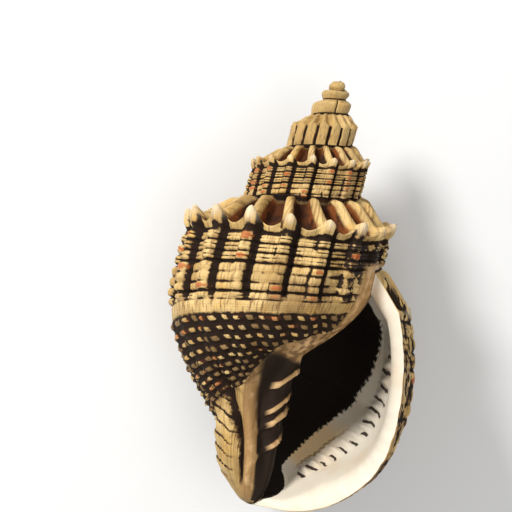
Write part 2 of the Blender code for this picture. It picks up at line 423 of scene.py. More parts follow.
def section(s, turn, station):
    """Radius and drop anywhere on the smooth whorl, the ramp included."""
    radius, drop = whorl_section(s, turn, most(station, 0.0))
    seam_radius, seam_drop = whorl_section(s, turn - 1, seam_station(turn))
    share = clamped(station + 1)
    return seam_radius + (radius - seam_radius) * share, seam_drop + (drop - seam_drop) * share


# ---------------------------------------------------------------- the plan


def carved_depth(s, depth, stations):
    """How deep the carving outside may reach at a depth in turns behind the lip's edge."""
    onto_wall, onto_base = smooth(stations, -0.10, 0.15), smooth(stations, 2.6, 3.1)
    deepest = 2.3 - 0.6 * onto_wall - 1.1 * onto_base
    deepest = deepest + 0.9 * smooth(stations, 5.2, 6.4) * smooth(depth, 0.40, 0.55)
    calm = CALM_SHARE * smooth(-depth, *CALM_BY_LIP)
    return deepest * (1 - calm) * radius_scale(s, -depth)


def unlooped(radius, drop, corner):
    """Numbers of a curve's points, without the loop that starts before the corner and ends after it."""
    end = 3 * corner
    step = np.hypot(np.diff(radius[:end]), np.diff(drop[:end])).max()
    gap = np.hypot(
        radius[:corner, None] - radius[None, corner:end], drop[:corner, None] - drop[None, corner:end]
    )
    before, after = np.nonzero(gap <= step)
    widest = np.argmax(after - before)
    return np.r_[: before[widest] + 1, corner + after[widest] : len(radius)]


def hollow_ring(s, depth, outer_shares, inner_shares):
    """Turn, station and inset round one ring of the hollow: down the wall, then up the columella."""
    turn = np.full(RING_POINTS, -depth)
    stations = np.linspace(-1, TIP, RING_POINTS)
    radius, drop = section(s, turn, stations)
    along = np.gradient(radius), np.gradient(drop)
    length = np.hypot(*along)
    thickness = s.wall + (s.lip - s.wall) * math.exp(-((max(depth - 0.05, 0) / 0.11) ** 2))
    thickness = thickness * (1 - CANAL_THINNING * smooth(stations, *CANAL_THINNING_STATIONS))
    thickness = np.maximum(thickness, carved_depth(s, depth, stations) + UNDER_CARVING)
    thickness = thickness * (1 - math.exp(-depth / LIP_ROUNDING))
    wall_radius = radius - thickness * along[1] / length
    wall_drop = drop + thickness * along[0] / length
    kept = unlooped(wall_radius, wall_drop, np.argmin(abs(stations)))
    wall_radius, wall_drop = wall_radius[kept], wall_drop[kept]
    core_stations = np.linspace(0, TIP, RING_POINTS)
    core_radius, core_drop = whorl_section(s, turn - 1, core_stations)
    clear = np.nonzero(wall_radius > np.interp(wall_drop, core_drop, core_radius + GLAZE))[0]
    first, last = clear[0], clear[-1]
    outer = np.interp(first + outer_shares * (last - first), np.arange(len(kept)), stations[kept])
    bottom, top = np.interp((wall_drop[last], wall_drop[first]), core_drop, core_stations)
    inner = bottom + inner_shares * (top - bottom)
    insets = np.interp(outer, stations, thickness)
    return [
        *((-depth, station, inset, INNER_FACE) for station, inset in zip(outer, insets)),
        *((-depth - 1, station, -GLAZE, COLUMELLA) for station in inner),
    ]


def row_stations(turn):
    """Stations of a column's rows. The rows below the seam exist on the last whorl only."""
    seam = float(seam_station(np.array(min(turn + 1, 0.0))))
    ramp_rows, wall_rows = RAMP_ROWS, WALL_ROWS
    for last_turn, fewer_ramp_rows, fewer_wall_rows in (MIDDLE_WHORL, EARLY_WHORL):
        if turn < last_turn:
            ramp_rows, wall_rows = fewer_ramp_rows, fewer_wall_rows
    ramp = np.linspace(-1, 0, ramp_rows + 1)
    wall = np.linspace(0, seam, wall_rows + 1)[1:]
    if turn < -1:
        return np.concatenate((ramp, wall))
    base = np.linspace(seam, NECK, BASE_ROWS + 1)[1:]
    canal = np.linspace(NECK, TIP, CANAL_ROWS + 1)[1:]
    return np.concatenate((ramp, wall, base, canal))


class Plan:
    """Vertices that say where they belong on the shell, and the faces that join them."""

    def __init__(self):
        self.places = []
        self.faces = []

    def add(self, turn, station, inset, side):
        self.places.append((turn, station, inset, side))
        return len(self.places) - 1

    def face(self, *corners):
        """A face without repeated corners, so that it narrows to a triangle at a pole."""
        kept = [corner for n, corner in enumerate(corners) if corner != corners[n - 1]]
        if len(kept) > 2:
            self.faces.append(kept[::-1])

    def strip(self, first, second):
        """Faces between two columns. Where they differ in rows, the faces are triangles."""
        if len(first) == len(second):
            for n in range(len(first) - 1):
                self.face(first[n], first[n + 1], second[n + 1], second[n])
            return
        a = b = 0
        while a < len(first) - 1 or b < len(second) - 1:
            if b == len(second) - 1 or (a + 1) * (len(second) - 1) <= (b + 1) * (len(first) - 1):
                self.face(first[a], first[a + 1], second[b])
                a += 1
            else:
                self.face(first[a], second[b + 1], second[b])
                b += 1

    def mesh(self, name):
        """The plan as a mesh, unrolled: turns run along x, stations along y and insets down."""
        places = np.array(self.places)
        mesh = bpy.data.meshes.new(name)
        unrolled = places[:, :3] * UNROLLED
        mesh.from_pydata([tuple(place) for place in unrolled], [], self.faces)
        for column, label in enumerate(("turn", "station", "inset", "side")):
            attribute = mesh.attributes.new(label, "FLOAT", "POINT")
            attribute.data.foreach_set("value", places[:, column].astype(np.float32))
        return mesh


def plan_outside(plan, turns, per_turn):
    """The outer sheet. Returns where the columns at turn -1 and at the lip have their vertices."""
    apex = plan.add(-turns, -1.0, 0.0, OUTSIDE)
    tip = plan.add(0.0, TIP, 0.0, OUTSIDE)
    count = round(turns * per_turn)
    columns = []
    seam_rows = []
    for step in range(count + 1):
        turn = (step - count) / per_turn
        stations = row_stations(turn)
        column = []
        for row, station in enumerate(stations):
            if step < APEX_STEPS or (row == 0 and step <= per_turn):
                column.append(apex)
            elif row == 0:
                column.append(columns[step - per_turn][seam_rows[step - per_turn]])
            elif station == TIP:
                column.append(tip)
            else:
                column.append(plan.add(turn, station, 0.0, OUTSIDE))
        columns.append(column)
        seam_rows.append(min(RAMP_ROWS + WALL_ROWS, len(stations) - 1))
    for step in range(count):
        before, after = columns[step], columns[step + 1]
        if step + 1 == count - per_turn:
            after = after[: len(before)]
        plan.strip(before, after)
    start = count - per_turn
    return columns[start][seam_rows[start] :], columns[count]


def plan_hollow(s, plan, start, lip):
    """The hollow behind the lip, from the ring of the opening to its far end."""
    ring = lip[:-1] + start[:0:-1]
    lip_stations = np.array([plan.places[n][1] for n in lip[:-1]])
    lip_stations[0] = -1
    start_stations = np.array([plan.places[n][1] for n in start[:0:-1]])
    outer_shares = (lip_stations + 1) / (TIP + 1)
    inner_shares = (TIP - start_stations) / (TIP - plan.places[start[0]][1])
    near = LIP_RING_TURNS * np.linspace(0, 1, LIP_RINGS + 1)[1:] ** 1.35
    far = np.linspace(LIP_RING_TURNS, CAVITY_TURNS, DEEP_RINGS + 1)[1:]
    for depth in np.concatenate((near, far)):
        places = hollow_ring(s, depth, outer_shares, inner_shares)
        deeper = [plan.add(*place) for place in places]
        plan.strip(ring + ring[:1], deeper + deeper[:1])
        ring = deeper
    turn, station, inset, _ = np.mean([plan.places[n] for n in ring[: len(lip) - 1]], axis=0)
    end = plan.add(turn, station, inset + 2.0, INNER_FACE)
    for n, corner in enumerate(ring):
        plan.face(ring[n - 1], corner, end)


# ---------------------------------------------------------------- the growth tree


def group_tree(name, inputs, outputs):
    """A new geometry node group with these sockets, its inputs as fields, and its output node."""
    tree = bpy.data.node_groups.new(name, "GeometryNodeTree")
    for label, kind, default in inputs:
        socket = tree.interface.new_socket(label, in_out="INPUT", socket_type=f"NodeSocket{kind}")
        if default is not None:
            socket.default_value = default
    for label, kind in outputs:
        tree.interface.new_socket(label, in_out="OUTPUT", socket_type=f"NodeSocket{kind}")
    entry = tree.nodes.new("NodeGroupInput")
    fields = {label: Field(tree, entry.outputs[label]) for label, _, _ in inputs}
    return tree, fields, tree.nodes.new("NodeGroupOutput")


def section_group():
    """The smooth whorl as a node group, so that the tree can call it for a slope as well."""
    inputs = [(label, "Float", 0.0) for label in ("Turn", "Station", "Turns", "Widening", "Lengthening")]
    tree, fields, leave = group_tree("Whorl section", inputs, [("Radius", "Float"), ("Drop", "Float")])
    s = SimpleNamespace(
        turns=fields["Turns"], widening=fields["Widening"], lengthening=fields["Lengthening"]
    )
    radius, drop = section(s, fields["Turn"], fields["Station"])
    feed(tree, radius, leave.inputs["Radius"])
    feed(tree, drop, leave.inputs["Drop"])
    return tree


def call_section(group, s, turn, station):
    inputs = {
        "Turn": turn,
        "Station": station,
        "Turns": s.turns,
        "Widening": s.widening,
        "Lengthening": s.lengthening,
    }
    radius = add_node(turn.tree, "GeometryNodeGroup", output=0, node_tree=group)
    node = radius.socket.node
    for label, value in inputs.items():
        feed(turn.tree, value, node.inputs[label])
    return Field(turn.tree, node.outputs["Radius"]), Field(turn.tree, node.outputs["Drop"])


def chance(value, seed):
    """A number from 0 to 1 that is fixed for each whole number."""
    inputs = {"W": value + seed}
    return add_node(value.tree, "ShaderNodeTexWhiteNoise", inputs, noise_dimensions="1D")


def grain(vector, scale, seed, detail=2.0):
    """Smooth noise from about -1 to 1."""
    inputs = {"Vector": vector, "W": seed, "Scale": scale, "Detail": detail}
    return add_node(vector.tree, "ShaderNodeTexNoise", inputs, noise_dimensions="4D") * 2 - 1


def combined(tree, x, y, z):
    return add_node(tree, "ShaderNodeCombineXYZ", {"X": x, "Y": y, "Z": z})


SIZE_INPUTS = {
    # tree input: (property, default, what it is)
    "Length": ("length", 0.060, "Apex to canal tip"),
    "Whorls": ("turns", 6.375, "Whorls from the nucleus to the lip"),
    "Widening": ("widening", 0.5738, "Growth of the radius in one whorl, as a logarithm"),
    "Lengthening": ("lengthening", 0.634, "Growth of the spire in one whorl, as a logarithm"),
    "Ribs": ("ribs", 16.0, "Ribs on each whorl"),
    "Rib height": ("rib_height", 0.0012, "Groove to crest of a rib on the wall of the last whorl"),
    "Ramp rib height": ("ramp_rib_height", 0.0018, "Height of a rib where it crosses the ramp"),
    "Pit depth": ("pit_depth", 0.0014, "Depth of the pits between ribs on the ramp"),
    "Horn height": ("horn_height", 0.0023, "Height of the point where a rib crosses the rim"),
    "Cord height": ("cord_height", 0.00035, "Height of the spiral cords"),
    "Ditch depth": ("ditch_depth", 0.0006, "Depth of the ditch behind each late rib"),
    "Bead height": ("bead_height", 0.0005, "Height of the beads on the base"),
    "Fold height": ("fold_height", 0.0008, "Height of the folds on the columella"),
    "Tooth height": ("tooth_height", 0.0006, "Height of the teeth inside the lip"),
    "Frill": ("frill", 0.0004, "How far the lip's edge waves in and out"),
}
NOT_LENGTHS = ("Whorls", "Widening", "Lengthening", "Ribs")


def glaze_share(turn, station):
    """Where the inner lip's glaze covers the last whorl, from 1 at the opening to 0."""
    edge = -0.955 + 0.145 * smooth(station, 4.0, 5.2) + 0.075 * smooth(station, 5.2, 7.0)
    return (1 - smooth(turn - edge, -0.02, 0.0)) * smooth(turn, -1.06, -1.03) * smooth(station, 0.9, 1.3)


def dark_edge(station):
    """Turns behind the lip where the opening's painted dark shade begins, right at the edge in the canal."""
    return (0.125 + 0.075 * smooth(station, 0.5, 5.2)) * (1 - smooth(station, 6.5, 7.7)) + 0.008


def relief(s, turn, station, drop, side):
    """What is carved where, most of it from 0 to 1. The shape and the finish both read it."""
    r = SimpleNamespace()
    r.outside = 1 - least(size_of(side), 1.0)
    r.on_face = above(side, 0.5)
    r.wander = grain(combined(turn.tree, turn * 30, station, side), 0.6, 3.0)
    r.grown = smooth(turn, *RIBS_GROW_IN)
    r.late = smooth(turn, *LATE_RIBS_GROW_IN)
    r.by_lip = smooth(turn, *CALM_BY_LIP)
    r.bare = 1 - glaze_share(turn, station)
    mark_ribs(s, r, turn, station)
    mark_cords(s, r, turn, station)
    mark_ramp(r, turn, station)
    mark_base(s, r, turn, station)
    mark_canal(r, turn, station, drop)
    mark_lip(r, turn, station, side)
    return r


def mark_ribs(s, r, turn, station):
    """Ribs on the wall: broad flat pillars on the early whorls, and later narrow with a ditch behind."""
    lean = RAMP_LEAN * clamped(-station) - 0.10 * most(station - 2.0, 0.0)
    rib_place = (turn - RIB_PHASE) * s.ribs - lean + r.wander * 0.05
    r.rib_number = whole(rib_place + 0.5)
    r.from_crest = rib_place - r.rib_number
    r.rib_luck = chance(r.rib_number, s.seed)
    r.crest = wave(rib_place)
    r.pillar_gap = 1 - smooth(r.crest, 0.0, 0.04 + 0.20 * smooth(station, -0.55, 0.2))
    r.rib = chosen(r.late, 1 - r.pillar_gap, smooth(hill(r.from_crest, 0.0, 0.27), 0.0, 0.75))
    r.ditch = hill(r.from_crest, -0.23, 0.13) * r.late
    r.on_wall = between(station, -0.12 - 0.45 * (1 - r.late), 0.10, 2.35, 3.0)
    horn = clamped(1 - size_of(r.from_crest) / 0.44) ** 1.3 * (0.70 + 0.5 * r.rib_luck)
    on_rim = hill(station, 0.0, 0.25)
    r.horn = horn * on_rim
    r.rim_lift = (0.20 + 0.85 * horn) * on_rim


def mark_cords(s, r, turn, station):
    """Spiral cords, flat on top with narrow grooves between. Fine threads split the upper ones."""
    cord_place = (station - CORDS_FROM) / CORD_STEP
    cord_number = whole(cord_place + 0.5)
    r.from_cord = cord_place - cord_number
    r.ring = wave(cord_place)
    r.cord_luck = chance(cord_number, s.seed + 20)
    r.knot_luck = chance(r.rib_number * 7.0 + cord_number, s.seed + 50)
    r.on_cords = between(station, *CORDS_SPAN) * smooth(turn, *CORDS_GROW_IN)
    r.cord_gap = (1 - r.ring) ** 4 * (1 - above(station, 2.6))
    split = (1 - wave(cord_place * 2 + 0.5)) ** 5
    r.thread = split * most(1 - smooth(station, 1.1, 1.3), smooth(r.cord_luck + r.wander, 0.5, 0.9))
    r.heavy_groove = 0.0
    for place, strength in HEAVY_GROOVES:
        r.heavy_groove = hill(station, place, 0.09) * strength + r.heavy_groove


def mark_ramp(r, turn, station):
    """Ribs across the ramp with pits between them, and painted shade along the suture of the early whorls.
    """
    wide = smooth(-turn, 0.9, 1.4)
    r.ramp_rib = smooth(hill(r.from_crest, 0.0, 0.34 + 0.08 * wide), 0.0, 0.9)
    r.on_ramp = between(station, *RAMP_SPAN)
    r.pit = (1 - r.ramp_rib) * between(station, *PITS_SPAN)
    r.early_suture = hill(station, SEAM, 0.35) + hill(station, -1.0, 0.25)
    r.early_suture = r.early_suture * (1 - smooth(turn, -3.3, -2.9))


def mark_base(s, r, turn, station):
    """The base: cords of beads in slanting rows, no two beads of one size."""
    bead_place = turn * BEADS + station * 1.3 + r.wander * 0.45
    row_place = (station - BEADS_FROM) / BEAD_ROW_STEP + r.wander * 0.12
    r.bead_luck = chance(whole(bead_place + 0.5) + 29.0 * whole(row_place + 0.5), s.seed + 90)
    shrunk = 0.40 * (1 - r.bead_luck) ** 2
    across_row = smooth(wave(row_place), 0.15 + shrunk, 0.80 + shrunk * 0.3)
    r.bead = across_row * (0.15 + 0.85 * smooth(wave(bead_place), 0.15 + shrunk, 0.85))
    r.on_base = between(station, *BASE_SPAN)


def mark_canal(r, turn, station, drop):
    """Scales across the fasciole, the groove that parts it from the columella's ridge, the channel
    on the ridge's other side, and the folds on the columella, which run on into the hollow."""
    on_canal = smooth(station, 5.4, 6.6)
    r.on_fasciole = fasciole(turn, drop, 44.0) * on_canal
    r.scale = 1 - fraction(drop / SCALE_STEP + turn * 4.0 + r.wander * 0.5)
    groove_turn = chosen(smooth(drop, 44.0, 54.0), *CANAL_GROOVE_TURNS)
    down_canal = between(drop, *CANAL_DROPS) * on_canal
    r.groove = hill(turn, groove_turn, 0.035) * down_canal
    r.ridge = hill(turn, groove_turn - 0.070, 0.055) * down_canal
    channel_turn = groove_turn - 0.160 - 0.012 * r.wander
    r.channel = hill(turn, channel_turn, 0.085) * between(drop, *CHANNEL_DROPS)

    fold_drop = drop - (turn + 1) * FOLD_CLIMB + r.wander * 0.3
    r.fold = 0.0
    for place, strength in FOLDS:
        r.fold = hill(fold_drop, place, FOLD_HALF_WIDTH) * strength + r.fold
    r.on_folds = between(turn, *FOLDS_TURNS) * smooth(drop, 38.5, 40.0)


def mark_lip(r, turn, station, side):
    """A rough, frilled band behind the lip's edge, and teeth inside it, just before the opening's painted
    dark shade.
    """
    chunks = grain(combined(turn.tree, turn * 150, station * 1.9, side), 1.0, 11.0, 3.0)
    r.chunks = smooth(chunks, -0.12, 0.14)
    r.on_rough_edge = between(turn, *ROUGH_EDGE_TURNS) * between(station, *ROUGH_EDGE_SPAN)
    tooth = smooth(wave(station / TOOTH_STEP + 0.2 * r.wander), 0.45, 1.0)
    r.on_teeth = hill(-turn, dark_edge(station) * 0.68, 0.035) * between(station, *TEETH_SPAN)
    r.tooth = tooth * r.on_teeth


def nucleus_shape(turn, station, scale, age):
    """Extra height by the nucleus: rounded whorls with deep sutures, and the first one a bulb."""
    rounding = 2.4 * hill(station, 0.4, 1.6) - 1.6 * hill(station, -1.0, 0.5)
    rounding = (rounding - 1.2 * hill(station, SEAM, 0.7)) * scale
    rounding = rounding * (1 - 0.7 * smooth(turn, -4.5, -4.0)) * (1 - smooth(turn, -3.3, -2.9))
    bulb = 3.5 * scale * hill(station, -0.4, 0.6) * (1 - smooth(age, 0.9, 1.1))
    larval_line = 0.12 * hill(turn, LARVAL_END, 0.02) * clamped(station + 1)
    return (rounding + bulb) * smooth(age, 0.05, 0.5) - larval_line


def sculpture(s, r, turn, station):
    """Height over the smooth whorl, the lift at the horns, and how far the lip's edge waves."""
    scale = radius_scale(s, turn)
    size = scale * r.grown * (1 - CALM_SHARE * r.by_lip)
    wall = s.rib_height * (r.rib * (0.8 + 0.4 * r.rib_luck) - 0.45) - s.ditch_depth * r.ditch
    knobs = r.rib * r.late * (r.ring - 0.5) * (0.3 + 0.5 * r.cord_luck)
    dents = r.cord_gap * (0.5 + 0.6 * r.cord_luck + 0.5 * r.wander) + r.thread * 0.5 + r.heavy_groove
    cords = s.cord_height * r.on_cords * (knobs - dents)
    ramp = s.ramp_rib_height * (r.ramp_rib - 0.4) * r.on_ramp - s.pit_depth * r.pit * (0.3 + 0.7 * r.late)
    rim = 0.35 * hill(station, 0.0, 0.10)
    base = s.bead_height * (r.bead - 0.45) * (0.8 + 0.4 * r.wander) + 0.5 * (r.crest - 0.5)
    base = r.on_base * base * (1 - r.by_lip)
    growth_lines = grain(combined(turn.tree, turn * 90, station * 0.5, 0.0), 1.0, 7.0, 3.0) * 0.07
    growth_lines = growth_lines + 0.30 * (r.chunks - 0.5) * r.on_rough_edge
    canal = r.scale * r.on_fasciole * 0.25 - r.groove * 0.9 + r.ridge * 0.7 - r.channel * 1.2
    nucleus = nucleus_shape(turn, station, scale, turn + s.turns)

    rough = size * (ramp + rim + wall * r.on_wall + cords) + (base + growth_lines) * smooth(turn, -1.2, -1.0)
    rough = rough * (1 - smooth(turn, -0.012, 0.0))
    height = r.outside * (r.bare * rough + canal + nucleus)
    height = height + r.fold * r.on_folds * s.fold_height * (1 - r.on_face)
    height = height - r.on_face * r.tooth * s.tooth_height

    lift = s.horn_height * scale * r.grown * r.rim_lift * (0.4 + 0.6 * r.late)
    lift = lift * (1 - smooth(turn, *HORNS_FADE)) * r.outside

    near_edge = smooth(turn, -0.04, 0.0) * between(station, *FRILL_SPAN) * (r.outside + r.on_face)
    edge_wave = 0.5 * wave(station * 1.3) + 0.3 * r.ring + 0.3 * r.wander
    nudge = s.frill * edge_wave * near_edge / (FULL_TURN * LIP_RADIUS)
    return height, lift, nudge


def growth_tree(material):
    """The tree that coils a plan into the shell and carves it."""
    inputs = [("Plan", "Geometry", None)]
    inputs += [(label, "Float", default) for label, (_, default, _) in SIZE_INPUTS.items()]
    inputs += [("Seed", "Float", SEED), ("Lie", "Rotation", None), ("Place", "Vector", None)]
    tree, fields, leave = group_tree("Shell growth", inputs, [("Shell", "Geometry")])
    for socket in tree.interface.items_tree:
        if socket.name in SIZE_INPUTS and socket.name not in NOT_LENGTHS:
            socket.subtype = "DISTANCE"
    s = SimpleNamespace(seed=fields["Seed"])
    for label, (name, _, _) in SIZE_INPUTS.items():
        value = fields[label]
        setattr(s, name, value if label in NOT_LENGTHS else value / MM)
    turn, station, inset, side = (
        add_node(tree, "GeometryNodeInputNamedAttribute", {"Name": label})
        for label in ("turn", "station", "inset", "side")
    )

    group = section_group()
    smooth_radius, smooth_drop = call_section(group, s, turn, station)
    before_radius, before_drop = call_section(group, s, turn, station - SLOPE_STEP)
    after_radius, after_drop = call_section(group, s, turn, station + SLOPE_STEP)
    run, fall = after_radius - before_radius, after_drop - before_drop
    length = root(run * run + fall * fall) + 1e-5  # never 0, which can't be divided by
    height, lift, nudge = sculpture(s, relief(s, turn, station, smooth_drop, side), turn, station)
    offset = height * (1 - smooth(station, 7.7, TIP)) - inset
    radius = most(smooth_radius + fall / length * offset + lift * HORN_FLARE, 0.0)
    drop = smooth_drop - run / length * offset - lift

    bearing = LIP_BEARING - (turn + nudge) * FULL_TURN
    bend = most((drop - CANAL_BEND_FROM) / (HEIGHT - CANAL_BEND_FROM), 0.0) ** 2
    grown = s.length / HEIGHT * MM
    x = (radius * cosine(bearing) + CANAL_BEND[0] * bend) * grown
    y = (radius * sine(bearing) + CANAL_BEND[1] * bend) * grown
    z = (HEIGHT - drop) * grown
    coiled = add_node(
        tree, "GeometryNodeSetPosition", {"Geometry": fields["Plan"], "Position": combined(tree, x, y, z)}
    )
    laid = add_node(
        tree,
        "GeometryNodeTransform",
        {"Geometry": coiled, "Rotation": fields["Lie"], "Translation": fields["Place"]},
    )
    x, y, z = parts_of(add_node(tree, "GeometryNodeInputPosition"))
    on_floor = combined(tree, x, y, most(z, 0.0))
    rested = add_node(tree, "GeometryNodeSetPosition", {"Geometry": laid, "Position": on_floor})
    # A band along the seam between whorls, where the finish paints shade into the suture.
    at_seam = smooth(station - seam_station(turn + 1), -0.02, -0.005) * above(-turn, 1.0001)
    marked = rested
    for label, value, kind in (
        ("growth", combined(tree, turn, station, side), "FLOAT_VECTOR"),
        ("drop", smooth_drop, "FLOAT"),
        ("suture", at_seam, "FLOAT"),
    ):
        inputs = {"Geometry": marked, "Name": label, "Value": value}
        marked = add_node(tree, "GeometryNodeStoreNamedAttribute", inputs, data_type=kind)
    smoothed = add_node(tree, "GeometryNodeSetShadeSmooth", {"Geometry": marked})
    realized = add_node(tree, "GeometryNodeRealizeInstances", {"Geometry": smoothed})
    finished = add_node(tree, "GeometryNodeSetMaterial", {"Geometry": realized, "Material": material})
    feed(tree, finished, leave.inputs["Shell"])
    return tree


def as_plain_mesh(obj, name):
    """The evaluated shape as a plain mesh object, in place of the one with the modifier."""
    graph = bpy.context.evaluated_depsgraph_get()
    mesh = bpy.data.meshes.new_from_object(obj.evaluated_get(graph))
    bpy.data.objects.remove(obj)
    mesh.name = name
    for label in ("turn", "station", "inset", "side"):
        mesh.attributes.remove(mesh.attributes[label])
    shell = bpy.data.objects.new(name, mesh)
    bpy.context.scene.collection.objects.link(shell)
    return shell


# ---------------------------------------------------------------- finishes


def attribute(tree, label, output="Fac"):
    return add_node(tree, "ShaderNodeAttribute", output=output, attribute_name=label)


def tinted(factor, first, second):
    """A Mix node between two colours."""
    tree = factor.tree
    node = tree.nodes.new("ShaderNodeMix")
    node.data_type = "RGBA"
    feed(tree, factor, node.inputs[0])
    for value, socket in ((first, node.inputs[6]), (second, node.inputs[7])):
        feed(tree, value if isinstance(value, Field) else (*value, 1.0), socket)
    return Field(tree, node.outputs[2])


def mottle(tree, scale, detail, seed):
    """Noise from 0 to 1 through the body of the shell."""
    place = add_node(tree, "ShaderNodeTexCoord", output="Object")
    inputs = {"Vector": place, "W": seed, "Scale": scale, "Detail": detail}
    return add_node(tree, "ShaderNodeTexNoise", inputs, noise_dimensions="4D")


def mottle_along(tree, turn, station, across_lines, along_lines, seed):
    """Noise drawn out along the growth lines."""
    place = combined(tree, turn * across_lines, station * along_lines, 0.0)
    inputs = {"Vector": place, "W": seed, "Scale": 1.0, "Detail": 2.0}
    return add_node(tree, "ShaderNodeTexNoise", inputs, noise_dimensions="4D")


def noises(tree, turn, station):
    """The noises that break up the colours. All run from 0 to 1 but "ragged", which is about 0."""
    return SimpleNamespace(
        broad=mottle(tree, 160.0, 3.0, 1.0),
        patchy=mottle(tree, 420.0, 4.0, 2.0),
        blotchy=mottle(tree, 800.0, 4.0, 6.0),
        ragged=mottle(tree, 1300.0, 3.0, 8.0) - 0.5,
        fine=mottle(tree, 2600.0, 3.0, 3.0),
        striae=mottle_along(tree, turn, station, 260.0, 1.2, 5.0),
        streaks=mottle_along(tree, turn, station, 90.0, 0.5, 4.0),
    )


def ground_colour(n, r, colours, turn, station):
    """Cream, khaki and gold in patches, with brown growth lines, darker brown bands across the lower wall,
    and painted shade on some beads.
    """
    colour = tinted(smooth(n.broad, 0.38, 0.62), colours.khaki, colours.cream)
    colour = tinted(smooth(n.patchy, 0.50, 0.68) * 0.55, colour, colours.gold)
    colour = tinted(smooth(n.streaks, 0.52, 0.70) * 0.40, colour, colours.brown)
    plain_zone = between(station, *PLAIN_SPAN)
    colour = tinted(smooth(n.striae, 0.50, 0.62) * (0.60 + 0.30 * plain_zone), colour, colours.brown)
    # Darker brown bands across the lower wall.
    brown_bands = smooth(wave((turn + 0.845) / 0.37) + (n.patchy - 0.5) * 0.8, 0.68, 0.84)
    brown_bands = brown_bands * smooth(station, 1.5, 2.2) * (1 - smooth(station, 3.2, 3.4))
    colour = tinted(brown_bands * 0.50, colour, colours.brown)
    # Painted shade on some of the beads, in the grooves' colour.
    bead_shade = smooth(r.bead_luck, 0.38, 0.62) * r.on_base * r.bare * r.outside
    return tinted(bead_shade * 0.80, colour, colours.groove)


def groove_marks(n, r, turn, station, suture):
    """How dark the painted shade in the grooves is: the cords' lines, all of the recesses, and the same
    shade with ragged edges.
    """
    lines = (r.cord_gap * (0.4 + 0.6 * r.cord_luck) + r.thread * 0.6 + r.heavy_groove) * r.on_cords
    lines = lines * (0.55 + 0.9 * smooth(n.patchy, 0.40, 0.60))
    rib_line = hill(r.from_crest, 0.20, 0.07) * r.late * r.on_wall
    lines = lines + rib_line * smooth(n.patchy, 0.40, 0.52) * 0.8
    # Painted shade in the ditches behind the ribs, the gaps between the early pillars, the ramp's pits and
    # between the beads.
    gaps = (smooth(r.ditch, 0.0, 0.75) * 1.2 + r.pillar_gap * (1 - r.late)) * r.on_wall
    carved = (lines + gaps) * r.grown + (1 - r.ramp_rib) * r.on_ramp * 0.6 * r.late
    carved = (carved + (1 - r.bead) * r.on_base) * (1 - 0.6 * r.by_lip) * r.bare
    # Painted shade in the canal's groove and channel, and between the fasciole's scales.
    canal = r.groove + r.on_fasciole * smooth(r.scale, 0.35, 0.0) * 0.7 + r.channel
    # Painted shade on the rough band behind the lip's edge, between its chunks.
    edge_shade = r.on_rough_edge * (1 - r.chunks)
    larval_line = hill(turn, LARVAL_END, 0.012)
    marks = carved + canal + suture + r.early_suture + edge_shade + larval_line
    # Painted shade between the columella's folds.
    shade_between_folds = (1 - smooth(r.fold, 0.15, 0.50)) * r.on_folds
    recess = clamped(marks * r.outside + shade_between_folds * 0.9 * (1 - r.on_face))
    # Painted shadow on the wall under the outer lip, in ragged patches.
    shade_under_lip = hill(turn, -0.98, 0.13) * between(station, *SHADE_UNDER_LIP_SPAN) * r.outside * r.bare
    shade_under_lip = shade_under_lip * smooth(n.patchy + n.ragged * 0.3, 0.42, 0.50)
    # The painted shade given ragged edges, with the painted shadow under the lip added.
    ragged_shade = recess + n.ragged * 1.3 * (1 - r.by_lip) + shade_under_lip * 0.95
    return lines, recess, ragged_shade


def carved_colour(n, r, colours, colour, ragged_shade, sunk):
    """The colour with painted shade in its grooves, from a brown edge to a near black bottom, rust flecks
    where cords cross ribs, rusty beads, a painted highlight on the horns, and near black painted shade in
    the pits with rusty patches."""
    # Painted shade in the recesses: brown at the edges and near black at the bottoms.
    colour = tinted(smooth(ragged_shade + (n.patchy - 0.5) * 0.4, 0.12, 0.60) * 0.92, colour, colours.groove)
    colour = tinted(smooth(ragged_shade + (n.fine - 0.5) * 0.4, 0.42, 0.68), colour, colours.deep_shade)
    rusty_bead = above(0.16, r.bead_luck) * smooth(n.patchy, 0.45, 0.60) * r.bead * r.on_base * r.bare
    colour = tinted(rusty_bead * r.outside * 0.8, colour, colours.rust)
    away = root((r.from_crest / 0.17) ** 2 + (r.from_cord / 0.34) ** 2)
    away = away + (n.patchy - 0.5) * 1.6 + (n.fine - 0.5) * 1.2
    flecked = above(r.knot_luck, 0.74) * r.on_wall * r.on_cords * r.bare * r.outside
    colour = tinted((1 - smooth(away, 0.55, 1.0)) * flecked * 0.85, colour, colours.rust)
    # Painted highlight on the horns' tips, in the lip's colour.
    colour = tinted(smooth(r.horn * r.late * r.outside, 0.35, 1.0) * 0.45, colour, colours.lip)
    # The pits are near black painted shade, with patches of real rust.
    rusty = smooth(n.patchy, 0.40, 0.56) * (1 - smooth(r.pit + n.ragged, 0.55, 0.95) * 0.7)
    return tinted(sunk, colour, tinted(rusty, colours.pit, colours.rust_pit))


def glaze_colour(n, r, colours, station, drop, recess):
    """The inner lip's glaze: tan and blotched over the last whorl, paler down the canal, and with painted
    shade in its recesses.
    """
    waxy = tinted(smooth(n.patchy, 0.46, 0.66), colours.tan, colours.peach)
    waxy = tinted(smooth(n.striae, 0.50, 0.70) * 0.5, waxy, colours.brown)
    blotches = smooth(n.blotchy, 0.43, 0.55) * between(station, *CALLUS_SPAN)
    waxy = tinted(blotches * 0.80, waxy, colours.groove)
    browned = r.ridge * (1 - smooth(drop, 49.0, 53.0)) * smooth(n.patchy, 0.40, 0.54)
    waxy = tinted(most(r.ridge * smooth(n.striae, 0.42, 0.58), browned) * 0.6, waxy, colours.brown)
    waxy = tinted(smooth(r.fold, 0.3, 0.8) * r.on_folds * 0.8, waxy, colours.peach)
    # Painted shade in the glaze's recesses: the channel and between the folds.
    return tinted(smooth(recess, 0.15, 0.85), waxy, colours.deep_shade)


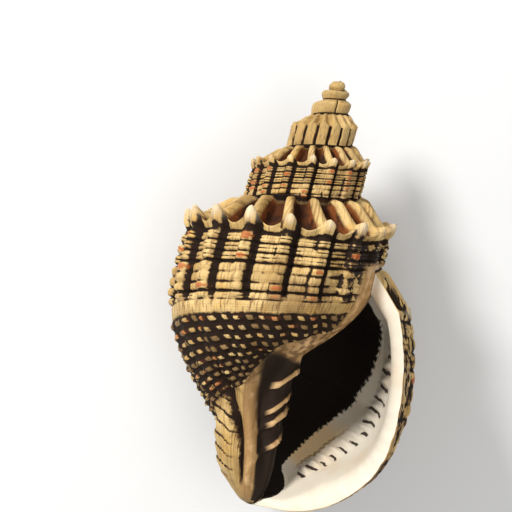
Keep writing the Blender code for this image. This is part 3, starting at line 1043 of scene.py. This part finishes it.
def lip_face_colour(n, r, colours, depth, station, past_edge):
    """Inside the lip: a pale face with painted shade strokes between its teeth, and a fringe along the edge
    of the opening's painted dark shade.
    """
    face = tinted(smooth(n.broad, 0.42, 0.70) * 0.30, colours.lip, colours.peach)
    stroke_place = station / TOOTH_STEP + 0.5 + 0.7 * r.wander
    stroke_reach = 0.014 + 0.036 * chance(whole(stroke_place + 0.5), 70.0)
    stroke_depth = dark_edge(station) * (0.56 + 0.25 * r.wander)
    # Painted shade strokes between the teeth.
    shade_stroke = 1 - smooth(size_of(depth - stroke_depth) / stroke_reach + (n.fine - 0.5), 0.8, 1.0)
    shade_stroke = shade_stroke * smooth(wave(stroke_place + (n.patchy - 0.5) * 0.5), 0.83, 0.91)
    face = tinted(shade_stroke * above(r.on_teeth, 0.05) * 0.95, face, colours.deep_shade)

    ruffled = past_edge + (n.striae - 0.5) * 0.012 + (n.patchy - 0.5) * 0.020
    fringe = smooth(ruffled, -0.042, -0.036) * between(station, *FRINGE_SPAN)
    fringe_line = fringe * (1 - smooth(ruffled, -0.036, -0.030))
    face = tinted(fringe * 0.85, face, colours.amber)
    return tinted(fringe_line * 0.8, face, colours.brown)


def shell_finish(s, colours):
    """The shell's material. The growth that each vertex keeps tells it where it is on the shell."""
    material = bpy.data.materials.new("shell_finish")
    material.use_nodes = True
    tree = material.node_tree
    surface = tree.nodes["Principled BSDF"]
    turn, station, side = parts_of(attribute(tree, "growth", "Vector"))
    drop = attribute(tree, "drop")
    depth = -turn
    r = relief(s, turn, station, drop, side)
    n = noises(tree, turn, station)

    lines, recess, ragged_shade = groove_marks(n, r, turn, station, attribute(tree, "suture"))
    # Painted shade in the pits of the ramp.
    sunk = smooth(r.pit + (n.patchy - 0.5) * 0.3, 0.22, 0.46) * r.late * (1 - r.by_lip) * r.outside
    colour = carved_colour(n, r, colours, ground_colour(n, r, colours, turn, station), ragged_shade, sunk)
    glaze = glaze_colour(n, r, colours, station, drop, recess)
    colour = tinted(1 - r.bare, colour, glaze)

    # The painted dark shade of the opening has a jagged edge.
    jagged = wave(station / 0.21 + n.striae * 2.0) * (n.streaks - 0.3) * 0.018 + (n.striae - 0.5) * 0.010
    past_edge = depth - dark_edge(station) - jagged
    in_throat_shade = smooth(past_edge, -0.003, 0.003)
    face = tinted(in_throat_shade, lip_face_colour(n, r, colours, depth, station, past_edge), colours.throat_shade)
    # Deep in the hollow the columella's glaze turns into the painted throat shade.
    core = tinted(smooth(depth, 0.99, 1.06), glaze, colours.throat_shade)
    colour = tinted(smooth(-side, 0.3, 0.7), colour, core)
    colour = tinted(smooth(side, 0.3, 0.7), colour, face)
    feed(tree, colour, surface.inputs["Base Color"])

    gloss = clamped(1 - r.bare + size_of(side))
    matt = most(most(in_throat_shade * r.on_face, recess), sunk)
    rough = 0.58 - gloss * 0.18 + (n.fine - 0.5) * 0.2 + matt * 0.4
    feed(tree, clamped(rough, 0.12, 0.95), surface.inputs["Roughness"])
    surface.inputs["Specular IOR Level"].default_value = 0.28

    height = n.striae + wave(station / FINE_RIDGE_STEP) * 0.12 - lines * 0.8 * r.outside
    height = height * (1 - gloss * 0.8) + n.fine * 0.35
    bump = add_node(tree, "ShaderNodeBump", {"Strength": 1.0, "Distance": 0.00014, "Height": height})
    feed(tree, bump, surface.inputs["Normal"])
    return material


def floor_finish(colour):
    material = bpy.data.materials.new("floor_finish")
    material.use_nodes = True
    tree = material.node_tree
    surface = tree.nodes["Principled BSDF"]
    speckle = mottle(tree, 40.0, 3.0, 9.0)
    darker = tuple(channel * 0.97 for channel in colour)
    feed(tree, tinted(speckle, darker, tuple(colour)), surface.inputs["Base Color"])
    surface.inputs["Roughness"].default_value = 0.85
    return material


# ---------------------------------------------------------------- what a user can change


def size_property(label, **limits):
    """A property for one of the growth tree's inputs."""
    _, default, description = SIZE_INPUTS[label]
    if label not in NOT_LENGTHS:
        limits.update(unit="LENGTH", precision=5)
    return FloatProperty(name=label, description=description, default=default, **limits)


class MurexSizes(bpy.types.PropertyGroup):
    """Sizes of the shell."""

    length: size_property("Length")
    turns: size_property("Whorls", min=4.0, max=7.0)
    widening: size_property("Widening")
    lengthening: size_property("Lengthening")
    ribs: size_property("Ribs", min=0.0)
    rib_height: size_property("Rib height")
    ramp_rib_height: size_property("Ramp rib height")
    pit_depth: size_property("Pit depth")
    horn_height: size_property("Horn height")
    cord_height: size_property("Cord height")
    ditch_depth: size_property("Ditch depth")
    bead_height: size_property("Bead height")
    fold_height: size_property("Fold height")
    tooth_height: size_property("Tooth height")
    frill: size_property("Frill")
    wall: FloatProperty(
        name="Wall",
        description="Thickness of the wall deep inside",
        default=0.0015,
        unit="LENGTH",
        precision=5,
    )
    lip: FloatProperty(
        name="Lip",
        description="Thickness of the swollen lip",
        default=0.0029,
        unit="LENGTH",
        precision=5,
    )
    steps: IntProperty(
        name="Growth steps", description="Steps of growth in each whorl", default=280, min=32, max=320
    )


def colour_property(name, description, default):
    return FloatVectorProperty(
        name=name, description=description, default=default, subtype="COLOR", size=3, min=0.0, max=1.0
    )


class MurexColours(bpy.types.PropertyGroup):
    """Colours of the shell."""

    cream: colour_property("Cream", "Crests of the ribs and cords", (0.76, 0.53, 0.22))
    khaki: colour_property("Khaki", "Duller patches", (0.50, 0.32, 0.11))
    gold: colour_property("Gold", "Warm patches", (0.78, 0.45, 0.11))
    brown: colour_property("Brown", "Growth streaks", (0.24, 0.125, 0.040))
    # Painted shade in the grooves and recesses and on some beads; also the real brown blotches on the
    # callus.
    groove: colour_property("Groove", "Grooves between ribs and cords", (0.13, 0.066, 0.020))
    # Near black painted shade at the bottoms of the grooves, between the lip's teeth and in the glaze's
    # recesses.
    deep_shade: colour_property("Deep groove", "Bottoms of the grooves", (0.018, 0.008, 0.003))
    rust: colour_property("Rust", "Flecks on the ribs", (0.46, 0.11, 0.022))
    # Near black painted shade in the pits; Rusty pit is the real rust in them.
    pit: colour_property("Pit", "Pits on the ramp", (0.040, 0.013, 0.004))
    rust_pit: colour_property("Rusty pit", "Lighter patches in the pits", (0.20, 0.055, 0.010))
    # Also the painted highlight on the horns' tips.
    lip: colour_property("Lip", "Face of the lip", (0.88, 0.79, 0.64))
    amber: colour_property("Amber", "Edge of the lip's face, by the dark", (1.0, 0.70, 0.36))
    peach: colour_property("Peach", "Lighter glaze on the columella", (0.74, 0.47, 0.22))
    tan: colour_property("Tan", "Darker glaze on the columella", (0.42, 0.24, 0.09))
    # Near black painted shade deep in the opening.
    throat_shade: colour_property("Throat", "Deep in the opening", (0.008, 0.004, 0.002))


class MurexStage(bpy.types.PropertyGroup):
    """The floor, the lights and the camera."""

    floor: colour_property("Floor", "Colour of the floor", (0.86, 0.86, 0.85))
    key: FloatProperty(name="Key light", description="Power of the main light", default=0.95, unit="POWER")
    fill: FloatProperty(name="Fill light", description="Power of the fill light", default=0.28, unit="POWER")
    sky: FloatProperty(name="Sky", description="Strength of the light from all round", default=0.46)
    lens: FloatProperty(name="Lens", description="Focal length, in millimetres", default=200.0)
    view_width: FloatProperty(
        name="View width", description="Width seen at the shell", default=0.0711, unit="LENGTH", precision=4
    )


# ---------------------------------------------------------------- operators


def resting_place():
    """The turn and the shift that lay a standing shell where the frame's node lies."""
    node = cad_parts["shell"]
    apex = max((vertex.co for vertex in node.data.vertices), key=lambda place: place.y)
    lie = RESTING @ ON_ITS_BACK
    return lie, apex - lie @ Vector((0, 0, HEIGHT * MM))


class MUREX_OT_shell(bpy.types.Operator):
    """Grows the shell and gives it its finish"""

    bl_idname = "murex.shell"
    bl_label = "Grow shell"

    def execute(self, context):
        sizes = context.scene.murex_sizes
        s = SimpleNamespace(
            turns=sizes.turns,
            widening=sizes.widening,
            lengthening=sizes.lengthening,
            wall=sizes.wall / MM,
            lip=sizes.lip / MM,
        )
        plan = Plan()
        start, lip = plan_outside(plan, sizes.turns, sizes.steps)
        plan_hollow(s, plan, start, lip)
        obj = bpy.data.objects.new("plan", plan.mesh("plan"))
        context.scene.collection.objects.link(obj)
        s.ribs, s.seed = sizes.ribs, SEED
        tree = growth_tree(shell_finish(s, context.scene.murex_colours))
        modifier = obj.modifiers.new("growth", "NODES")
        modifier.node_group = tree
        identifiers = {item.name: item.identifier for item in tree.interface.items_tree}
        for label, (name, _, _) in SIZE_INPUTS.items():
            modifier[identifiers[label]] = getattr(sizes, name)
        lie, place = resting_place()
        modifier[identifiers["Lie"]] = lie.to_euler()
        modifier[identifiers["Place"]] = place
        shell = as_plain_mesh(obj, "murex_shell")
        if len(shell.data.vertices) != len(plan.places):
            raise RuntimeError("the growth tree lost part of the shell")
        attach(shell, "root")
        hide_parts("shell")
        return {"FINISHED"}


def area_light(name, power):
    place, width = LIGHTS[name]
    data = bpy.data.lights.new(name, "AREA")
    data.shape = "DISK"
    data.size = width
    data.energy = power
    light = bpy.data.objects.new(name, data)
    light.location = place
    light.rotation_euler = (Vector(LIT_POINT) - Vector(place)).to_track_quat("-Z", "Y").to_euler()
    bpy.context.scene.collection.objects.link(light)


class MUREX_OT_stage(bpy.types.Operator):
    """Lays the floor, hangs the lights and sets up the camera"""

    bl_idname = "murex.stage"
    bl_label = "Set up stage"

    def execute(self, context):
        stage = context.scene.murex_stage
        mesh = bpy.data.meshes.new("floor")
        corners = [(x * FLOOR_REACH, y * FLOOR_REACH, 0) for x, y in ((-1, -1), (1, -1), (1, 1), (-1, 1))]
        mesh.from_pydata(corners, [], [(0, 1, 2, 3)])
        mesh.materials.append(floor_finish(stage.floor))
        floor = bpy.data.objects.new("floor", mesh)
        context.scene.collection.objects.link(floor)

        area_light("key_light", stage.key)
        area_light("fill_light", stage.fill)
        world = bpy.data.worlds.new("studio")
        world.use_nodes = True
        background = world.node_tree.nodes["Background"]
        background.inputs["Color"].default_value = (1.0, 1.0, 1.0, 1.0)
        background.inputs["Strength"].default_value = stage.sky
        context.scene.world = world
        context.scene.view_settings.view_transform = "Standard"
        self.add_camera(context.scene, stage)
        return {"FINISHED"}

    def add_camera(self, scene, stage):
        """Looks at the standing shell's front from a little over it, with the axis leaning right."""
        data = bpy.data.cameras.new("camera")
        data.lens = stage.lens
        data.sensor_width = SENSOR_WIDTH
        distance = stage.view_width * data.lens / data.sensor_width
        data.clip_start, data.clip_end = 0.01, 20.0
        lie, place = resting_place()
        tilt = Matrix.Rotation(VIEW_FROM_ABOVE, 3, "X")
        back = lie @ tilt @ Vector((0, -1, 0))
        up = lie @ tilt @ Matrix.Rotation(AXIS_LEAN, 3, "Y") @ Vector((0, 0, 1))
        across = up.cross(back).normalized()
        up = back.cross(across).normalized()
        apex = lie @ Vector((0, 0, HEIGHT * MM)) + place
        right, above_centre = (share * stage.view_width for share in APEX_IN_VIEW)
        centre = apex - across * right - up * above_centre
        camera = bpy.data.objects.new("camera", data)
        camera.matrix_world = Matrix((across, up, back)).transposed().to_4x4()
        camera.location = centre + back * distance
        scene.collection.objects.link(camera)
        scene.camera = camera


class MUREX_PT_panel(bpy.types.Panel):
    """The shell's sizes and colours, and the operators that make it"""

    bl_label = "Murex shell"
    bl_idname = "MUREX_PT_panel"
    bl_space_type = "VIEW_3D"
    bl_region_type = "UI"
    bl_category = "Murex"

    def draw(self, context):
        layout = self.layout
        scene = context.scene
        for operator, settings in (
            (MUREX_OT_shell, (scene.murex_sizes, scene.murex_colours)),
            (MUREX_OT_stage, (scene.murex_stage,)),
        ):
            box = layout.box()
            for group in settings:
                for name in group.__annotations__:
                    box.prop(group, name)
            box.operator(operator.bl_idname)


GROUPS = {"murex_sizes": MurexSizes, "murex_colours": MurexColours, "murex_stage": MurexStage}
CLASSES = (*GROUPS.values(), MUREX_OT_shell, MUREX_OT_stage, MUREX_PT_panel)


def register():
    for cls in CLASSES:
        bpy.utils.register_class(cls)
    for name, group in GROUPS.items():
        setattr(bpy.types.Scene, name, PointerProperty(type=group))


def unregister():
    for name in GROUPS:
        delattr(bpy.types.Scene, name)
    for cls in reversed(CLASSES):
        bpy.utils.unregister_class(cls)


def main():
    register()
    bpy.ops.murex.shell()
    bpy.ops.murex.stage()


if __name__ == "__main__":
    main()
